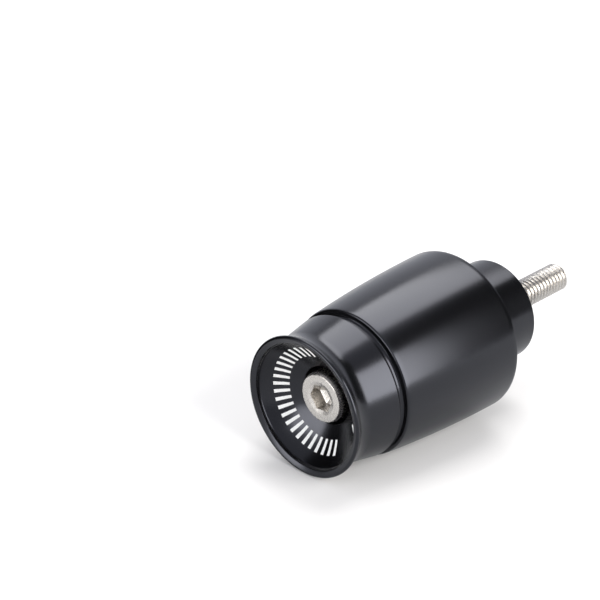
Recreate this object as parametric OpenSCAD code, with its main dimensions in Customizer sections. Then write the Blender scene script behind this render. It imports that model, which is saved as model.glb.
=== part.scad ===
// Bar end weight for a motorbike handlebar: one turned body with a dished cup at its front,
// and the socket head screw that clamps it to the end of the bar.
// The turned axis is X. The origin is the centre of the spigot's end face, which sits against
// the handlebar. +X points outwards, away from the motorbike, and +Z is up.

/* [Spigot and barrel] */
// Diameter of the spigot, a little less than the handlebar's outside
spigot_d = 20.9; // [17:0.1:26]
// Length of the spigot, from its end face to the shoulder
spigot_l = 12.8; // [5:0.1:40]
// Diameter at the shoulder, the largest of the weight
shoulder_d = 33.5; // [30.2:0.1:48]
// Diameter of the barrel beside the groove
barrel_front_d = 29.9; // [29.2:0.1:38]
// Length of the barrel, from the shoulder to the groove
barrel_l = 29.7; // [15:0.1:60]
// How far the barrel's outline bows out from a straight taper
barrel_swell = 0.4; // [0.1:0.05:1]

/* [Groove] */
// Width of the round-bottomed groove between barrel and cup
groove_w = 1.7; // [1:0.1:6]
// Diameter at the floor of the groove
groove_d = 27; // [24:0.1:27.6]
// Rounding of the barrel's edge beside the groove
barrel_edge = 0.45; // [0.2:0.05:0.6]
// Rounding of the cup's edge beside the groove
band_edge = 0.25; // [0.1:0.05:0.3]

/* [Cup] */
// Length of the cup, from the groove to the front of the rim
cup_l = 11.5; // [9.6:0.1:24]
// Diameter of the cup's band beside the groove
band_d = 29.1; // [28.6:0.1:34]
// Slope of the flare behind the rim, in degrees from the axis
flare_slope = 30; // [24:1:34]
// Distance of the waist from the front of the rim
waist_at = 2.9; // [2.4:0.1:3.4]
// Rounding of the waist, less where the flare has no room for it
waist_round = 6; // [1:0.1:7]
// Outer diameter of the rim
rim_d = 28.7; // [28.2:0.1:34]
// Width of the lip on the front of the rim
lip_w = 1.5; // [1.4:0.1:2.4]
// How far the lip leans in, in degrees
lip_slope = 24; // [0:1:26]
// Rounding of the lip's outer edge
lip_round = 0.45; // [0.3:0.05:0.6]
// Rounding of the lip's inner edge
lip_inner_round = 0.25; // [0.1:0.05:0.3]
// Depth of the dish, from the front of the rim to the mouth of the head pocket
dish_depth = 6.6; // [5:0.1:8.5]
// How far the dish's slope bows in from a straight cone
dish_bow = 0.45; // [0.1:0.05:0.8]
// Depth of the upright wall inside the lip, before the dish slopes in
dish_wall = 1.2; // [1.2:0.05:1.6]
// Rounding between that wall and the slope
dish_round = 1.1; // [0.4:0.1:1.1]

/* [Screw] */
// Nominal diameter of the screw, M6
screw_d = 6; // [5:0.5:8]
// Length of the screw under its head, 65 as M6 screws are sold
screw_l = 65; // [52:1:110]
// Diameter of the screw's head
head_d = 10.2; // [9:0.1:13]
// Height of the screw's head
head_h = 6; // [5:0.1:8]
// Width of the bevel on the head's front edge
head_bevel = 0.25; // [0.1:0.05:0.8]
// Length of that bevel along the axis
head_bevel_l = 0.5; // [0.1:0.05:1]
// Width across the flats of the hexagon socket
socket_af = 5; // [4:0.5:6]
// Depth of the hexagon socket, before its pointed floor
socket_depth = 2.8; // [2:0.1:4]
// Turn of the socket's corners about the screw's axis, in degrees
socket_turn = 35; // [0:1:59]
// Bevel on the tip of the thread
tip_bevel = 0.7; // [0.3:0.05:1]
// Length of the necked stretch where the thread runs out, just inside the bore
neck_l = 1.2; // [0.8:0.1:3]
// Depth of the thread, which is also the depth of that neck
thread_depth = 0.6; // [0.3:0.05:0.8]

/* [Fits] */
// Gap around the screw in the bore
bore_gap = 0.3; // [0.1:0.05:0.5]
// Gap around the screw's head in its pocket
pocket_gap = 0.8; // [0.3:0.05:1.2]
// How far the head stands out of its pocket
head_proud = 1.7; // [0:0.1:3]

/* [Hidden] */
$fn = 96;
anodised_black = [0.07, 0.07, 0.08];
bright_steel = [0.72, 0.71, 0.69];
arc_steps = 8;
eps = 0.01;

// Places along the axis, from the spigot's end face outwards
shoulder_x = spigot_l;
groove_x = shoulder_x + barrel_l;
cup_x = groove_x + groove_w;
front_x = cup_x + cup_l;
waist_x = front_x - waist_at;
mouth_x = front_x - dish_depth;
seat_x = mouth_x + head_proud - head_h;
head_x = seat_x + head_h;
tip_x = seat_x - screw_l;

// Radii of the screw and of what it passes through
screw_r = screw_d / 2;
head_r = head_d / 2;
bore_r = screw_r + bore_gap;
pocket_r = head_r + pocket_gap;

// Radii of the body's outside
rim_r = rim_d / 2;
lip_r = rim_r - lip_w;
band_r = band_d / 2;
barrel_front_r = barrel_front_d / 2;
shoulder_r = shoulder_d / 2;
spigot_r = spigot_d / 2;
groove_r = groove_d / 2;

// Share of the room at a corner that a rounding may take
round_share = 0.95;

// Rounding of the groove's floor, nearly as full as its width and depth allow
groove_depth = min(band_r - band_edge, barrel_front_r - barrel_edge) - groove_r;
groove_round = round_share * min(groove_w / 2, groove_depth);

// Bevels on the edges of the shoulder and of the spigot's end
edge_break = 0.4;

// Bevel at the mouth of the hexagon socket, from the socket's corners outwards, and its slope
mouth_bevel = 0.5;
mouth_slope = 15;

// Slope of the socket's pointed floor
floor_slope = 28;

// Point [radius, x] on the circle that leaves the chord from a to b by h on its outer side
function bow_point(a, b, h, part) =
    let (
        along = (b - a) / norm(b - a),
        out = [-along[1], along[0]],
        r = pow(norm(b - a), 2) / (8 * h) + h / 2,
        turn = asin(norm(b - a) / (2 * r)) * (2 * part - 1)
    )
    (a + b) / 2 + out * (r * cos(turn) - r + h) + along * r * sin(turn);

// The outline from a to b as an arc that bows out by h
function bow(a, b, h) = [for (i = [0:arc_steps]) bow_point(a, b, h, i / arc_steps)];

// The corner b between a and c, rounded to the radius r
function round_corner(a, b, c, r) =
    let (
        to_a = (a - b) / norm(a - b),
        to_c = (c - b) / norm(c - b),
        half = acos(to_a * to_c) / 2,
        middle = b + (to_a + to_c) / norm(to_a + to_c) * r / sin(half),
        from = b + to_a * r / tan(half) - middle,
        to = b + to_c * r / tan(half) - middle,
        first = atan2(from[1], from[0]),
        sweep = (atan2(to[1], to[0]) - first + 540) % 360 - 180
    )
    [for (i = [0:arc_steps]) let (at = first + sweep * i / arc_steps) middle + r * [cos(at), sin(at)]];

// Turns an outline of [radius, x] points about the X axis
module turned(outline) {
    rotate([0, 90, 0]) rotate_extrude() polygon(outline);
}

// Point of the rounded rim where its surface faces the given angle, from outwards towards the front
function rim_point(at) = [rim_r - lip_round, front_x - lip_round] + lip_round * [cos(at), sin(at)];

// Rim, from the lip's face round to the flare
function rim_outline() =
    let (first = 90 + lip_slope)
    [for (i = [0:arc_steps]) rim_point(first - (first + flare_slope) * i / arc_steps)];

// Corner of flare and band, before its rounding
function waist_corner() =
    let (start = rim_point(-flare_slope))
    [start[0] - (start[1] - waist_x) * tan(flare_slope), waist_x];

// Radius that rounds the waist
function waist_radius() =
    let (
        corner = waist_corner(),
        room = round_share * norm(rim_point(-flare_slope) - corner),
        band_slope = atan((band_r - corner[0]) / (corner[1] - cup_x))
    )
    min(waist_round, room / tan((flare_slope + band_slope) / 2));

// Outside of the cup, from the lip's face back to the band
function cup_outline() = concat(
    rim_outline(),
    round_corner(rim_point(-flare_slope), waist_corner(), [band_r, cup_x], waist_radius())
);

// Side of the barrel, from the groove to the shoulder
function barrel_side() = bow([barrel_front_r, groove_x], [shoulder_r, shoulder_x + edge_break], barrel_swell);

// Groove, from the cup's band to the side of the barrel
function groove_outline() =
    let (cup_foot = [groove_r, cup_x], barrel_foot = [groove_r, groove_x], side = barrel_side())
    concat(
        round_corner(waist_corner(), [band_r, cup_x], cup_foot, band_edge),
        round_corner([band_r, cup_x], cup_foot, barrel_foot, groove_round),
        round_corner(cup_foot, barrel_foot, side[0], groove_round),
        round_corner(barrel_foot, side[0], side[1], barrel_edge)
    );

// Outside of the barrel and spigot, from the first stretch of the side back to the end face
function barrel_outline() = concat(
    [for (i = [1:arc_steps]) barrel_side()[i]],
    [[shoulder_r - edge_break, shoulder_x], [spigot_r, shoulder_x]],
    [[spigot_r, edge_break], [spigot_r - edge_break, 0]]
);

// Slope of the dish, from the mouth of the head pocket up to the wall inside the lip
function dish_slope() = bow([pocket_r, mouth_x], [lip_r, front_x - dish_wall], -dish_bow);

// Inner edge of the lip, before its rounding
function lip_corner() =
    let (start = rim_point(90 + lip_slope))
    [lip_r, start[1] - (start[0] - lip_r) * tan(lip_slope)];

// Inside, from the bore's end out through the head pocket and up the dish to the lip
function inside_outline() = concat(
    [[bore_r, 0], [bore_r, seat_x], [pocket_r, seat_x]],
    [for (i = [0:arc_steps - 1]) dish_slope()[i]],
    round_corner(dish_slope()[arc_steps - 1], dish_slope()[arc_steps], lip_corner(), dish_round),
    round_corner(dish_slope()[arc_steps], lip_corner(), rim_point(90 + lip_slope), lip_inner_round)
);

module weight_body() {
    color(anodised_black)
        turned(concat(cup_outline(), groove_outline(), barrel_outline(), inside_outline()));
}

// Hexagon socket with a bevelled mouth and a pointed floor
module key_socket() {
    corner_r = socket_af / 2 / cos(30);
    floor_h = socket_af / 2 * tan(floor_slope);
    mouth_r = corner_r + mouth_bevel;
    mouth_h = mouth_r * tan(mouth_slope);
    rotate([0, 90, 0]) {
        rotate([0, 0, socket_turn])
            translate([0, 0, head_x - socket_depth])
                cylinder(h = socket_depth + eps, r = corner_r, $fn = 6);
        translate([0, 0, head_x - socket_depth - floor_h])
            cylinder(h = floor_h + eps, r1 = 0, r2 = socket_af / 2);
        translate([0, 0, head_x + eps - mouth_h])
            cylinder(h = mouth_h, r1 = 0, r2 = mouth_r);
    }
}

// Outline of the screw, from its head back to the tip. The threaded end starts at the spigot's
// end face, and the neck where the thread runs out is just inside the bore.
function screw_outline() = [
    [0, head_x], [head_r - head_bevel, head_x], [head_r, head_x - head_bevel_l], [head_r, seat_x],
    [screw_r, seat_x], [screw_r, neck_l], [screw_r - thread_depth, neck_l],
    [screw_r - thread_depth, 0], [screw_r, 0], [screw_r, tip_x + tip_bevel],
    [screw_r - tip_bevel, tip_x], [0, tip_x]
];

module cap_screw() {
    color(bright_steel)
        difference() {
            turned(screw_outline());
            key_socket();
        }
}

weight_body();
cap_screw();
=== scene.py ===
# Bar end weight: a turned black body, its socket head screw, the studio around them and the camera.
# All places are in metres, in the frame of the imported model: X along the turned axis, outwards to the
# cup, and Z up. The origin is the centre of the spigot's end face.
import math
import bmesh
import bpy
from mathutils import Matrix, Vector


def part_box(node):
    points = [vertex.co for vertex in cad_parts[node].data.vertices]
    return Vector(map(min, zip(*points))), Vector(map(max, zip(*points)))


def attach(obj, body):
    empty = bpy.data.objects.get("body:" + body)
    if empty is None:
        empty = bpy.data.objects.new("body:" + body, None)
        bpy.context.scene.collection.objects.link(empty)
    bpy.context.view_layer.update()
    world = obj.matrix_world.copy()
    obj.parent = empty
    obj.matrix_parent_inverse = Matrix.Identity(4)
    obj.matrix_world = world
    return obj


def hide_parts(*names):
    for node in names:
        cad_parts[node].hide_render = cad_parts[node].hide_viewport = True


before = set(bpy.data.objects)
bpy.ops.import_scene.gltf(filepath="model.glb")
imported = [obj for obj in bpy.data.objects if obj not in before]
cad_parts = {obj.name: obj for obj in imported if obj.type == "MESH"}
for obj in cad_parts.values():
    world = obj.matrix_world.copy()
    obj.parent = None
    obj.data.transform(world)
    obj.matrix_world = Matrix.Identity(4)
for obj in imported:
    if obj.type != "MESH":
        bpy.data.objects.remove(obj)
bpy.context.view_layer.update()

MM = 0.001

# How near points lie that are welded, and that count as one place when edges are picked
WELD = 0.001 * MM
NEAR = 0.01 * MM

# Ends of the body and of the screw, from the frame
screw_low, screw_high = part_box("cap_screw")
FRONT_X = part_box("weight_body")[1].x
HEAD_X = screw_high.x
TIP_X = screw_low.x

# Barrel and spigot
SPIGOT_R = 10.45 * MM
SHOULDER_X = 12.8 * MM
SHOULDER_R = 16.75 * MM
GROOVE_X = 42.5 * MM
BARREL_FRONT_R = 14.95 * MM
BARREL_SWELL = 0.4 * MM
EDGE_BREAK = 0.4 * MM
SMALL_BEVEL = 0.15 * MM

# Groove and cup
CUP_X = 44.2 * MM
GROOVE_R = 13.5 * MM
GROOVE_ROUND = 0.78 * MM
BARREL_EDGE = 0.45 * MM
BAND_EDGE = 0.25 * MM
BAND_R = 14.55 * MM
WAIST_X = FRONT_X - 2.9 * MM
WAIST_ROUND = 6 * MM
FLARE_SLOPE = 30
RIM_R = 14.35 * MM
LIP_R = 12.85 * MM
LIP_SLOPE = 24
LIP_ROUND = 0.45 * MM
LIP_INNER_ROUND = 0.25 * MM

# Dish, head pocket and bore. The rounding takes the place of the slope's last DISH_TRIM points
DISH_WALL = 1.2 * MM
DISH_ROUND = 1.1 * MM
DISH_BOW = 0.45 * MM
DISH_TRIM = 5
MOUTH_X = FRONT_X - 6.6 * MM
POCKET_R = 5.9 * MM
SEAT_X = HEAD_X - 6 * MM
BORE_R = 3.3 * MM

# Plain bars marked round the dish in two rows: their pitch and half width in degrees, their ends in
# radii, the first and last bar of each row in degrees, and how deep they are marked
MARK_PITCH = 9
MARK_HALF = 1.7
MARK_LOW_R = 8.5 * MM
MARK_HIGH_R = 11 * MM
MARK_ROWS = ((90, 297), (342, 405))
MARK_DEPTH = 0.02 * MM

# Screw
HEAD_R = screw_high.y
FACE_R = HEAD_R - 0.25 * MM
HEAD_BEVEL_L = 0.5 * MM
KNURL_DEPTH = 0.1 * MM
KNURL_RIDGES = 60
KNURL_LEAD = 0.2 * MM
HEAD_FOOT_BEVEL = 0.4 * MM
CORNER_BREAK = 0.12 * MM
SHANK_R = 3 * MM
SOCKET_AF = 5 * MM
SOCKET_DEPTH = 2.8 * MM
SOCKET_TURN = 5
FLOOR_SLOPE = 28
MOUTH_BEVEL = 0.5 * MM
MOUTH_SLOPE = 15

# Thread, ISO metric, M6 with a pitch of 1 mm. Its crest is rounded, and its foot reaches into the core
PITCH = 1 * MM
CREST_R = 2.96 * MM
ROOT_R = 2.39 * MM
CREST_HALF = 0.08 * MM
CREST_SIDE = 0.04 * MM
CREST_DROP = 0.07 * MM
FOOT_DEPTH = 0.1 * MM
FLANK_SLOPE = 30
TIP_BEVEL = 0.7 * MM
THREAD_END_X = 2 * MM
RUN_OUT_L = 0.6 * MM

# Studio: directions of the dark corner and of the backdrop, light of the room, paper, and a black card
# seen only in reflections, which paints a dark reflection on the rim
DARK_CORNER = (-0.76, 0.49, 0.42)
BACKDROP = (-0.74, -0.67, 0)
ROOM_LIGHT = 0.6
FLAG_X = FRONT_X + 12 * MM
FLAG_Y = -36 * MM
FLAG_W = 34 * MM
FLAG_H = 56 * MM
FLAG_TURN = 20
PAPER_R = 3

# Camera: its place, its turn in degrees, and its lens on a sensor of 36 mm
CAMERA_PLACE = (306.79 * MM, 257.11 * MM, 203.86 * MM)
CAMERA_AZIMUTH = 135.65
CAMERA_ELEVATION = 26.75
CAMERA_ROLL = -1.6
LENS_MM = 132
SENSOR_MM = 36

# Steps of the turned pieces, of the thread and of the curves in their outlines
BODY_STEPS = 360
SCREW_STEPS = 4 * KNURL_RIDGES
THREAD_STEPS = 48
CURVE_STEPS = 24
DISH_STEPS = 36
RIM_STEPS = 16
ROUND_STEPS = 8


def bow(a, b, h, steps):
    """Points [x, radius] from a to b on an arc that leaves the chord by h on its outer side."""
    a, b = Vector(a), Vector(b)
    chord = (b - a).length
    along = (b - a) / chord
    out = Vector((-along.y, along.x))
    r = chord ** 2 / (8 * h) + h / 2
    half = math.asin(chord / (2 * r))
    points = []
    for i in range(steps + 1):
        turn = half * (2 * i / steps - 1)
        points.append((a + b) / 2 + out * (r * math.cos(turn) - r + h) + along * r * math.sin(turn))
    return points


def round_corner(a, b, c, r, steps):
    """Points on the arc of radius r that rounds the corner b between a and c."""
    a, b, c = Vector(a), Vector(b), Vector(c)
    to_a, to_c = (a - b).normalized(), (c - b).normalized()
    half = to_a.angle(to_c) / 2
    middle = b + (to_a + to_c).normalized() * r / math.sin(half)
    start = b + to_a * r / math.tan(half) - middle
    end = b + to_c * r / math.tan(half) - middle
    sweep = math.atan2(start.x * end.y - start.y * end.x, start.dot(end))
    return [middle + Matrix.Rotation(sweep * i / steps, 2) @ start for i in range(steps + 1)]


def pick(piece):
    """Makes one piece the only selected one, and the active one."""
    bpy.ops.object.select_all(action="DESELECT")
    piece.select_set(True)
    bpy.context.view_layer.objects.active = piece


def edit(piece):
    """Opens one piece in edit mode with nothing in it selected."""
    pick(piece)
    bpy.ops.object.mode_set(mode="EDIT")
    bpy.ops.mesh.select_all(action="DESELECT")


def leave():
    """Goes back from edit mode."""
    bpy.ops.object.mode_set(mode="OBJECT")


def select(piece, kind, chosen):
    """In edit mode, selects the vertices, edges or faces of the piece for which chosen says yes."""
    bpy.ops.mesh.select_all(action="DESELECT")
    bpy.ops.mesh.select_mode(type=kind)
    mesh = bmesh.from_edit_mesh(piece.data)
    items = {"VERT": mesh.verts, "EDGE": mesh.edges, "FACE": mesh.faces}[kind]
    for item in items:
        if chosen(item):
            item.select_set(True)
    bmesh.update_edit_mesh(piece.data)


def bevel(width):
    """In edit mode, rounds the selected edges."""
    bpy.ops.mesh.bevel(offset=width, segments=3, profile=0.5, affect="EDGES")


def radius_of(point):
    """Distance of a point from the turned axis."""
    return math.hypot(point.y, point.z)


def angle_of(point):
    """Angle of a point about the turned axis in degrees, from +Y towards +Z."""
    return math.degrees(math.atan2(point.z, point.y)) % 360


def turned(name, outline, steps, closed):
    """A turned piece: one vertex is extruded along the outline and the line is spun about X."""
    bpy.ops.object.select_all(action="DESELECT")
    bpy.ops.mesh.primitive_plane_add(size=MM, location=(0, 0, 0))
    piece = bpy.context.object
    piece.name = piece.data.name = name
    bpy.ops.object.mode_set(mode="EDIT")
    bpy.ops.mesh.select_mode(type="VERT")
    bpy.ops.mesh.select_all(action="SELECT")
    bpy.ops.mesh.merge(type="CENTER")
    x, r = outline[0]
    bpy.ops.transform.translate(value=(x, 0, r))
    for (x0, r0), (x1, r1) in zip(outline, outline[1:]):
        step = {"value": (x1 - x0, 0, r1 - r0)}
        bpy.ops.mesh.extrude_region_move(TRANSFORM_OT_translate=step)
    if closed:
        ends = [Vector((x, 0, r)) for x, r in (outline[0], outline[-1])]
        select(piece, "VERT", lambda v: min((v.co - end).length for end in ends) < WELD)
        bpy.ops.mesh.edge_face_add()
    bpy.ops.mesh.select_all(action="SELECT")
    bpy.ops.mesh.spin(steps=steps, angle=math.tau, center=(0, 0, 0), axis=(1, 0, 0))
    bpy.ops.mesh.select_all(action="SELECT")
    bpy.ops.mesh.remove_doubles(threshold=WELD)
    bpy.ops.mesh.normals_make_consistent(inside=False)
    leave()
    return piece


def boolean(piece, tool, operation):
    """Joins, cuts or keeps the shared part of two pieces, and removes the second."""
    pick(piece)
    modifier = piece.modifiers.new("shape", "BOOLEAN")
    modifier.object = tool
    modifier.operation = operation
    modifier.solver = "EXACT"
    bpy.ops.object.modifier_apply(modifier=modifier.name)
    bpy.data.objects.remove(tool)


def smooth(piece, angle):
    """Shades a piece smoothly across edges flatter than the angle, in degrees, flat faces kept flat."""
    pick(piece)
    bpy.ops.object.shade_smooth_by_angle(angle=math.radians(angle))
    modifier = piece.modifiers.new("shading", "WEIGHTED_NORMAL")
    modifier.keep_sharp = True
    bpy.ops.object.modifier_apply(modifier=modifier.name)


def rim_point(angle):
    """Point [x, radius] of the rounded rim where it faces this angle, from outwards to the front."""
    turn = math.radians(angle)
    middle = Vector((FRONT_X - LIP_ROUND, RIM_R - LIP_ROUND))
    return middle + LIP_ROUND * Vector((math.sin(turn), math.cos(turn)))


def body_outline():
    """Outline of the body as [x, radius], round the cup, back along the outside and up the inside."""
    sweep = 90 + LIP_SLOPE + FLARE_SLOPE
    rim = [rim_point(90 + LIP_SLOPE - sweep * i / RIM_STEPS) for i in range(RIM_STEPS + 1)]
    lean, flare = math.tan(math.radians(LIP_SLOPE)), math.tan(math.radians(FLARE_SLOPE))
    lip_corner = (rim[0].x - (rim[0].y - LIP_R) * lean, LIP_R)
    waist_corner = (WAIST_X, rim[-1].y - (rim[-1].x - WAIST_X) * flare)
    waist = round_corner(rim[-1], waist_corner, (CUP_X, BAND_R), WAIST_ROUND, CURVE_STEPS)
    barrel = bow((GROOVE_X, BARREL_FRONT_R), (SHOULDER_X, SHOULDER_R), -BARREL_SWELL, CURVE_STEPS)
    corners = [waist_corner, (CUP_X, BAND_R), (CUP_X, GROOVE_R), (GROOVE_X, GROOVE_R), *barrel[:2]]
    rounds = [BAND_EDGE, GROOVE_ROUND, GROOVE_ROUND, BARREL_EDGE]
    groove = []
    for a, b, c, r in zip(corners, corners[1:], corners[2:], rounds):
        groove += round_corner(a, b, c, r, ROUND_STEPS)
    spigot = [(SHOULDER_X, SPIGOT_R), (0, SPIGOT_R)]
    bore = [(0, BORE_R), (SEAT_X, BORE_R), (SEAT_X, POCKET_R)]
    slope = bow((MOUTH_X, POCKET_R), (FRONT_X - DISH_WALL, LIP_R), DISH_BOW, DISH_STEPS)
    wall = round_corner(slope[-DISH_TRIM], slope[-1], lip_corner, DISH_ROUND, CURVE_STEPS)
    lip = round_corner(slope[-1], lip_corner, rim[0], LIP_INNER_ROUND, ROUND_STEPS)
    return rim + waist + groove + barrel[1:] + spigot + bore + slope[:-DISH_TRIM] + wall + lip


def weight_body():
    """The turned body: spun from its outline, its corners bevelled, with engraved marks in the dish."""
    piece = turned("turned_body", body_outline(), BODY_STEPS, True)
    edit(piece)
    corners = {
        EDGE_BREAK: [(SHOULDER_X, SHOULDER_R), (0, SPIGOT_R)],
        SMALL_BEVEL: [(MOUTH_X, POCKET_R), (0, BORE_R)],
    }
    for width, rings in corners.items():
        def on_ring(edge):
            places = [(v.co.x, radius_of(v.co)) for v in edge.verts]
            return any(all(math.dist(p, ring) < NEAR for p in places) for ring in rings)
        select(piece, "EDGE", on_ring)
        bevel(width)
    engrave_marks(piece)
    leave()
    smooth(piece, angle=25)
    return piece


def in_bar(angle):
    """Whether a bar covers this angle round the dish."""
    for start, end in MARK_ROWS:
        for turn in (0, 360):
            place = angle + turn - start
            nearest = round(place / MARK_PITCH) * MARK_PITCH
            if 0 <= nearest <= end - start and abs(place - nearest) < MARK_HALF:
                return True
    return False


def engrave_marks(piece):
    """Plain bars round the dish: faces are sunk a little and get the marking's finish."""
    def in_mark(face):
        middle = face.calc_center_median()
        r = radius_of(middle)
        in_dish = middle.x > MOUTH_X and face.normal.x > 0.3
        return in_dish and MARK_LOW_R < r < MARK_HIGH_R and in_bar(angle_of(middle))
    select(piece, "FACE", in_mark)
    bpy.ops.mesh.inset(thickness=MARK_DEPTH, depth=-MARK_DEPTH)
    # One slot for the body's finish and one for the marking
    piece.data.materials.append(None)
    piece.data.materials.append(None)
    piece.active_material_index = 1
    bpy.ops.object.material_slot_assign()


def screw_blank():
    """Head, shank and thread core as one turned piece, with a straight knurl raised round the head."""
    valley_r = HEAD_R - KNURL_DEPTH
    knurl_start = HEAD_X - HEAD_BEVEL_L
    outline = [
        (HEAD_X, 0), (HEAD_X, FACE_R), (knurl_start, valley_r), (knurl_start - KNURL_LEAD, valley_r),
        (SEAT_X + HEAD_FOOT_BEVEL, valley_r), (SEAT_X, valley_r - HEAD_FOOT_BEVEL), (SEAT_X, SHANK_R),
        (THREAD_END_X, SHANK_R), (THREAD_END_X - RUN_OUT_L, ROOT_R), (TIP_X, ROOT_R), (TIP_X, 0),
    ]
    piece = turned("socket_screw", outline, SCREW_STEPS, False)
    edit(piece)
    ridge_pitch = 360 / KNURL_RIDGES
    half_step = 180 / SCREW_STEPS

    def on_ridge(edge):
        a, b = (v.co for v in edge.verts)
        lengthwise = abs(a.x - b.x) > MM and abs(radius_of(a) - valley_r) < NEAR
        off = (angle_of((a + b) / 2) + ridge_pitch / 2) % ridge_pitch - ridge_pitch / 2
        return lengthwise and a.x > SEAT_X and b.x > SEAT_X and abs(off) < half_step

    def on_face_edge(edge):
        places = [(v.co.x, radius_of(v.co)) for v in edge.verts]
        return all(abs(x - HEAD_X) < NEAR and abs(r - FACE_R) < NEAR for x, r in places)

    select(piece, "EDGE", on_ridge)
    grow = HEAD_R / valley_r
    bpy.ops.transform.resize(value=(1, grow, grow), center_override=(0, 0, 0))
    select(piece, "EDGE", on_face_edge)
    bevel(CORNER_BREAK)
    leave()
    return piece


def thread_ridge():
    """The thread's ridge as a closed bar: its section is swept by a Screw modifier and capped."""
    foot_r = ROOT_R - FOOT_DEPTH
    foot_half = CREST_HALF + (CREST_R - foot_r) * math.tan(math.radians(FLANK_SLOPE))
    side_half, side_r = CREST_HALF + CREST_SIDE, CREST_R - CREST_DROP
    section = [
        (-foot_half, foot_r), (-side_half, side_r), (-CREST_HALF / 2, CREST_R),
        (CREST_HALF / 2, CREST_R), (side_half, side_r), (foot_half, foot_r),
    ]
    start_x = TIP_X - PITCH
    bpy.ops.object.select_all(action="DESELECT")
    bpy.ops.mesh.primitive_circle_add(vertices=len(section), radius=MM, location=(0, 0, 0))
    ridge = bpy.context.object
    for vertex, (x, r) in zip(ridge.data.vertices, section):
        vertex.co = (start_x + x, 0, r)
    modifier = ridge.modifiers.new("thread", "SCREW")
    modifier.axis = "X"
    modifier.screw_offset = PITCH
    modifier.iterations = math.ceil((THREAD_END_X - start_x) / PITCH)
    modifier.steps = modifier.render_steps = THREAD_STEPS
    bpy.ops.object.modifier_apply(modifier=modifier.name)
    edit(ridge)
    for near in (True, False):
        select(ridge, "EDGE", lambda edge: edge.is_boundary and (edge.verts[0].co.x < 0) == near)
        bpy.ops.mesh.edge_face_add()
    bpy.ops.mesh.select_all(action="SELECT")
    bpy.ops.mesh.normals_make_consistent(inside=False)
    leave()
    return ridge


def tip_envelope():
    """What the threaded end may fill: a bar whose end is bevelled as the screw's tip is."""
    reach = 4 * MM
    outline = [
        (HEAD_X + reach, 0), (HEAD_X + reach, HEAD_R + reach), (MM, HEAD_R + reach), (MM, SHANK_R + MM),
        (TIP_X + TIP_BEVEL + MM, SHANK_R + MM), (TIP_X, SHANK_R - TIP_BEVEL), (TIP_X, 0),
    ]
    return turned("tip_envelope", outline, SCREW_STEPS, False)


def socket_corner_r():
    """Radius at the corners of the hexagon socket."""
    return SOCKET_AF / 2 / math.cos(math.radians(30))


def socket_cutter():
    """The hexagon socket with softened corners and a pointed floor."""
    bpy.ops.object.select_all(action="DESELECT")
    bpy.ops.mesh.primitive_cylinder_add(
        vertices=6, radius=socket_corner_r(), depth=2 * SOCKET_DEPTH, location=(0, 0, 0),
        rotation=(0, 0, math.radians(SOCKET_TURN)))
    cutter = bpy.context.object
    bpy.ops.object.transform_apply(location=True, rotation=True, scale=True)
    cutter.rotation_euler = (0, math.radians(90), 0)
    cutter.location = (HEAD_X, 0, 0)
    bpy.ops.object.transform_apply(location=True, rotation=True, scale=True)
    edit(cutter)
    select(cutter, "EDGE", lambda edge: abs(edge.verts[0].co.x - edge.verts[1].co.x) > MM)
    bevel(CORNER_BREAK)
    select(cutter, "FACE", lambda face: face.normal.x < -0.9)
    bpy.ops.mesh.poke()
    select(cutter, "VERT", lambda v: radius_of(v.co) < NEAR and v.co.x < HEAD_X)
    floor_h = SOCKET_AF / 2 * math.tan(math.radians(FLOOR_SLOPE))
    bpy.ops.transform.translate(value=(-floor_h, 0, 0))
    leave()
    return cutter


def mouth_cutter():
    """The shallow bevel round the socket's mouth."""
    mouth_r = socket_corner_r() + MOUTH_BEVEL
    mouth_h = mouth_r * math.tan(math.radians(MOUTH_SLOPE))
    outline = [(HEAD_X + mouth_h, 0), (HEAD_X + mouth_h, 2 * mouth_r), (HEAD_X - mouth_h, 0)]
    return turned("mouth_cutter", outline, SCREW_STEPS, False)


def cap_screw():
    """The screw: blank, thread and tip joined to one solid, then the socket cut."""
    piece = screw_blank()
    boolean(piece, thread_ridge(), "UNION")
    boolean(piece, tip_envelope(), "INTERSECT")
    boolean(piece, socket_cutter(), "DIFFERENCE")
    boolean(piece, mouth_cutter(), "DIFFERENCE")
    smooth(piece, angle=13)
    return piece


def linear(hex_colour):
    """An sRGB hex colour as linear red, green, blue and alpha."""
    parts = [int(hex_colour[i:i + 2], 16) / 255 for i in (1, 3, 5)]
    return [c / 12.92 if c <= 0.04045 else ((c + 0.055) / 1.055) ** 2.4 for c in parts] + [1]


def add_node(tree, kind, settings=None, inputs=None):
    """Adds a node with its settings. Each input is given a value, or linked from another socket."""
    node = tree.nodes.new(kind)
    for name, value in (settings or {}).items():
        setattr(node, name, value)
    for name, value in (inputs or {}).items():
        if isinstance(value, bpy.types.NodeSocket):
            tree.links.new(value, node.inputs[name])
        else:
            node.inputs[name].default_value = value
    return node


def new_material(name):
    """An empty node material, and its tree."""
    material = bpy.data.materials.new(name)
    material.use_nodes = True
    material.node_tree.nodes.clear()
    return material, material.node_tree


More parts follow.
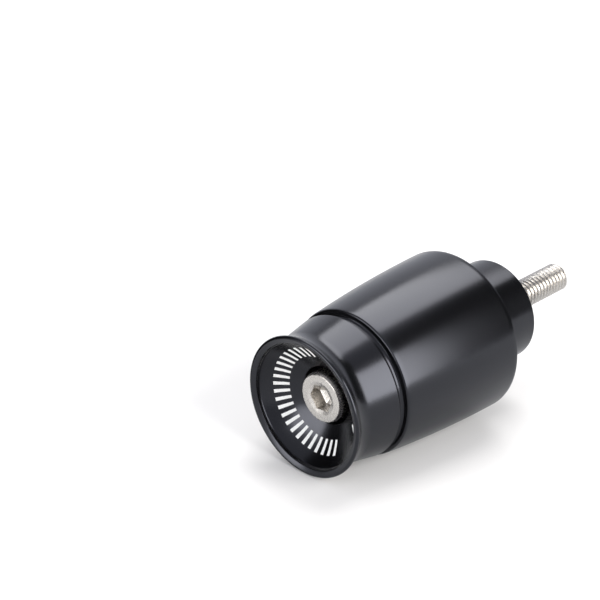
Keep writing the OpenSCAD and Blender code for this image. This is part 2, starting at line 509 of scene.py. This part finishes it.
def black_anodised_aluminium():
    # Turned aluminium, fine blasted, then anodised and dyed black. The film is a clear, hard oxide
    # over black, so lamps show in it as soft grey shapes on a deep black with no colour of its own.
    material, tree = new_material("black_anodised_aluminium")
    place = add_node(tree, "ShaderNodeTexCoord")
    # The blasted grain is about 0.05 mm, drawn at 0.2 mm so that it shows
    grain = add_node(tree, "ShaderNodeTexNoise", {}, {
        "Vector": place.outputs["Object"], "Scale": 1 / (0.2 * MM), "Detail": 2})
    clouds = add_node(tree, "ShaderNodeTexNoise", {}, {
        "Vector": place.outputs["Object"], "Scale": 1 / (9 * MM), "Detail": 2})
    roughness = add_node(tree, "ShaderNodeMapRange", {}, {
        "Value": clouds.outputs["Fac"], "To Min": 0.20, "To Max": 0.23})
    bump = add_node(tree, "ShaderNodeBump", {}, {
        "Height": grain.outputs["Fac"], "Strength": 0.05, "Distance": 0.01 * MM})
    shader = add_node(tree, "ShaderNodeBsdfPrincipled", {}, {
        "Base Color": linear("#070708"), "Metallic": 0, "IOR": 1.5, "Specular Tint": linear("#f0f2ff"),
        "Roughness": roughness.outputs["Result"], "Normal": bump.outputs["Normal"]})
    add_node(tree, "ShaderNodeOutputMaterial", {}, {"Surface": shader.outputs["BSDF"]})
    return material


def white_laser_marking():
    # Laser marking bleaches the dyed oxide to a dry, slightly mottled white.
    material, tree = new_material("white_laser_marking")
    place = add_node(tree, "ShaderNodeTexCoord")
    mottle = add_node(tree, "ShaderNodeTexNoise", {}, {
        "Vector": place.outputs["Object"], "Scale": 1 / (0.3 * MM), "Detail": 3})
    colour = add_node(tree, "ShaderNodeMix", {"data_type": "RGBA"}, {
        "Factor": mottle.outputs["Fac"], "A": linear("#d8d8d6"), "B": linear("#f0f0ee")})
    shader = add_node(tree, "ShaderNodeBsdfPrincipled", {}, {
        "Base Color": colour.outputs["Result"], "Roughness": 0.6})
    add_node(tree, "ShaderNodeOutputMaterial", {}, {"Surface": shader.outputs["BSDF"]})
    return material


def stainless_steel():
    # A2 stainless steel, cold headed with a rolled thread: bright but not polished, slightly warm,
    # with a fine uneven skin that spreads its reflections.
    material, tree = new_material("stainless_steel")
    place = add_node(tree, "ShaderNodeTexCoord")
    skin = add_node(tree, "ShaderNodeTexNoise", {}, {
        "Vector": place.outputs["Object"], "Scale": 1 / (0.5 * MM), "Detail": 4})
    roughness = add_node(tree, "ShaderNodeMapRange", {}, {
        "Value": skin.outputs["Fac"], "From Min": 0.3, "From Max": 0.7, "To Min": 0.2, "To Max": 0.36})
    tint = add_node(tree, "ShaderNodeMix", {"data_type": "RGBA"}, {
        "Factor": skin.outputs["Fac"], "A": linear("#cdc8c1"), "B": linear("#dad6d0")})
    bump = add_node(tree, "ShaderNodeBump", {}, {
        "Height": skin.outputs["Fac"], "Strength": 0.1, "Distance": 0.03 * MM})
    shader = add_node(tree, "ShaderNodeBsdfPrincipled", {}, {
        "Base Color": tint.outputs["Result"], "Metallic": 1,
        "Roughness": roughness.outputs["Result"], "Normal": bump.outputs["Normal"]})
    add_node(tree, "ShaderNodeOutputMaterial", {}, {"Surface": shader.outputs["BSDF"]})
    return material


def white_paper():
    # Matt white background paper: plain, with no gloss. Seen in reflections it is painted a little
    # greyer: painted shade on its reflection in the weight and the screw.
    material, tree = new_material("white_paper")
    ray = add_node(tree, "ShaderNodeLightPath")
    # Painted shade: reflected rays see the greyer colour, the camera the white one
    colour = add_node(tree, "ShaderNodeMix", {"data_type": "RGBA"}, {
        "Factor": ray.outputs["Is Glossy Ray"], "A": linear("#ebe9e6"), "B": linear("#c9c9c9")})
    shader = add_node(tree, "ShaderNodeBsdfDiffuse", {}, {"Color": colour.outputs["Result"]})
    add_node(tree, "ShaderNodeOutputMaterial", {}, {"Surface": shader.outputs["BSDF"]})
    return material


def floor():
    """A sheet of white paper on which the weight lies, touching it with its shoulder and its rim."""
    fall = (SHOULDER_R - RIM_R) / (FRONT_X - LIP_ROUND - SHOULDER_X - EDGE_BREAK)
    bpy.ops.object.select_all(action="DESELECT")
    bpy.ops.mesh.primitive_circle_add(
        vertices=96, radius=PAPER_R, fill_type="NGON", location=(0, 0, 0))
    paper = bpy.context.object
    paper.name = "paper_floor"
    tilt = Matrix.Rotation(-math.atan(fall), 4, "Y")
    touch = Vector((SHOULDER_X + EDGE_BREAK, 0, -SHOULDER_R))
    paper.matrix_world = Matrix.Translation(touch) @ tilt
    paper.data.materials.append(white_paper())


def softbox(name, location, rotation, width, height, radiance):
    """A lamp behind a white sheet that shines down its own Z axis."""
    lamp = bpy.data.lights.new(name, "AREA")
    lamp.shape = "RECTANGLE"
    lamp.size, lamp.size_y = width, height
    lamp.energy = radiance * math.pi * width * height
    holder = bpy.data.objects.new(name, lamp)
    bpy.context.scene.collection.objects.link(holder)
    holder.location = location
    holder.rotation_euler = rotation
    holder.visible_camera = False


def side_softbox(name, azimuth, elevation, distance, width, height, radiance):
    """A softbox that faces the origin. Azimuth is from +X towards +Y, and both angles are in degrees."""
    a, e = math.radians(azimuth), math.radians(elevation)
    direction = Vector((math.cos(a) * math.cos(e), math.sin(a) * math.cos(e), math.sin(e)))
    rotation = direction.to_track_quat("Z", "Y").to_euler()
    softbox(name, direction * distance, rotation, width, height, radiance)


def studio():
    """Three softboxes: one overhead behind the weight, and one on each side of the camera."""
    softbox(
        "overhead_softbox", location=(-0.96, -0.615, 1.6), rotation=(0, 0, 0),
        width=1.28, height=1.67, radiance=4.7)
    side_softbox(
        "right_softbox", azimuth=98, elevation=22, distance=1.7, width=1.44, height=1.4, radiance=7)
    side_softbox(
        "left_softbox", azimuth=-11, elevation=14, distance=1.7, width=1.5, height=0.9, radiance=5)


def painted_dark_reflection_card():
    """A black card beside the cup, out of the picture, seen only in reflections: a painted dark
    reflection on the rim's outer edge.
    """
    bpy.ops.object.select_all(action="DESELECT")
    bpy.ops.mesh.primitive_plane_add(size=1, location=(FLAG_X, FLAG_Y, FLAG_H / 2 - SHOULDER_R))
    card = bpy.context.object
    card.name = "painted_dark_reflection_card"
    card.dimensions = (FLAG_W, FLAG_H, 0)
    card.rotation_euler = (math.radians(90), 0, math.radians(FLAG_TURN))
    material, tree = new_material("painted_reflection_black")
    shader = add_node(tree, "ShaderNodeBsdfDiffuse", {}, {"Color": linear("#0c0c0c")})
    add_node(tree, "ShaderNodeOutputMaterial", {}, {"Surface": shader.outputs["BSDF"]})
    card.data.materials.append(material)
    # Hidden from the camera, from shadows and from diffuse light, the card shows only as a painted dark
    # reflection
    card.visible_camera = card.visible_shadow = card.visible_diffuse = False


def surroundings():
    """The room: white to the camera, and a pale grey fill with one dark corner to everything else."""
    world = bpy.data.worlds.new("studio_room")
    bpy.context.scene.world = world
    world.use_nodes = True
    tree = world.node_tree
    tree.nodes.clear()
    place = add_node(tree, "ShaderNodeTexCoord")
    ray = add_node(tree, "ShaderNodeLightPath")
    # The dark corner lies right of the weight as the camera sees it, below the overhead softbox
    corner = add_node(tree, "ShaderNodeVectorMath", {"operation": "DOT_PRODUCT"}, {
        0: place.outputs["Generated"], 1: DARK_CORNER})
    lit = add_node(tree, "ShaderNodeMapRange", {"interpolation_type": "SMOOTHSTEP"}, {
        "Value": corner.outputs["Value"], "From Min": 0.9, "From Max": 0.8,
        "To Min": 0.02, "To Max": ROOM_LIGHT})
    # The white backdrop behind the weight, up to about 33 degrees
    height = add_node(tree, "ShaderNodeSeparateXYZ", {}, {"Vector": place.outputs["Generated"]})
    low = add_node(tree, "ShaderNodeMapRange", {"interpolation_type": "SMOOTHSTEP"}, {
        "Value": height.outputs["Z"], "From Min": 0.6, "From Max": 0.48})
    behind = add_node(tree, "ShaderNodeVectorMath", {"operation": "DOT_PRODUCT"}, {
        0: place.outputs["Generated"], 1: BACKDROP})
    wide = add_node(tree, "ShaderNodeMapRange", {"interpolation_type": "SMOOTHSTEP"}, {
        "Value": behind.outputs["Value"], "From Min": 0.45, "From Max": 0.6})
    backdrop = add_node(tree, "ShaderNodeMath", {"operation": "MULTIPLY"}, {
        0: low.outputs["Result"], 1: wide.outputs["Result"]})
    strength = add_node(tree, "ShaderNodeMath", {"operation": "MAXIMUM"}, {
        0: backdrop.outputs["Value"], 1: lit.outputs["Result"]})
    room = add_node(tree, "ShaderNodeBackground", {}, {
        "Color": linear("#f1f4ff"), "Strength": strength.outputs["Value"]})
    white = add_node(tree, "ShaderNodeBackground", {}, {"Color": linear("#ffffff")})
    shown = add_node(tree, "ShaderNodeMixShader", {}, {
        "Fac": ray.outputs["Is Camera Ray"],
        1: room.outputs["Background"], 2: white.outputs["Background"]})
    add_node(tree, "ShaderNodeOutputWorld", {}, {"Surface": shown.outputs["Shader"]})


def camera():
    """A long lens at the photograph's angle, on the cup's side and a little above."""
    lens = bpy.data.cameras.new("camera")
    lens.lens = LENS_MM
    lens.sensor_width = SENSOR_MM
    holder = bpy.data.objects.new("camera", lens)
    bpy.context.scene.collection.objects.link(holder)
    turn = (Matrix.Rotation(math.radians(CAMERA_AZIMUTH), 4, "Z")
            @ Matrix.Rotation(math.radians(90 - CAMERA_ELEVATION), 4, "X")
            @ Matrix.Rotation(math.radians(CAMERA_ROLL), 4, "Z"))
    holder.matrix_world = Matrix.Translation(CAMERA_PLACE) @ turn
    bpy.context.scene.camera = holder


body = weight_body()
body.data.materials[0] = black_anodised_aluminium()
body.data.materials[1] = white_laser_marking()
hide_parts("weight_body")
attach(body, "root")

screw = cap_screw()
screw.data.materials.clear()
screw.data.materials.append(stainless_steel())
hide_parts("cap_screw")
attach(screw, "root")

floor()
painted_dark_reflection_card()
studio()
surroundings()
camera()
bpy.context.scene.view_settings.view_transform = "Standard"
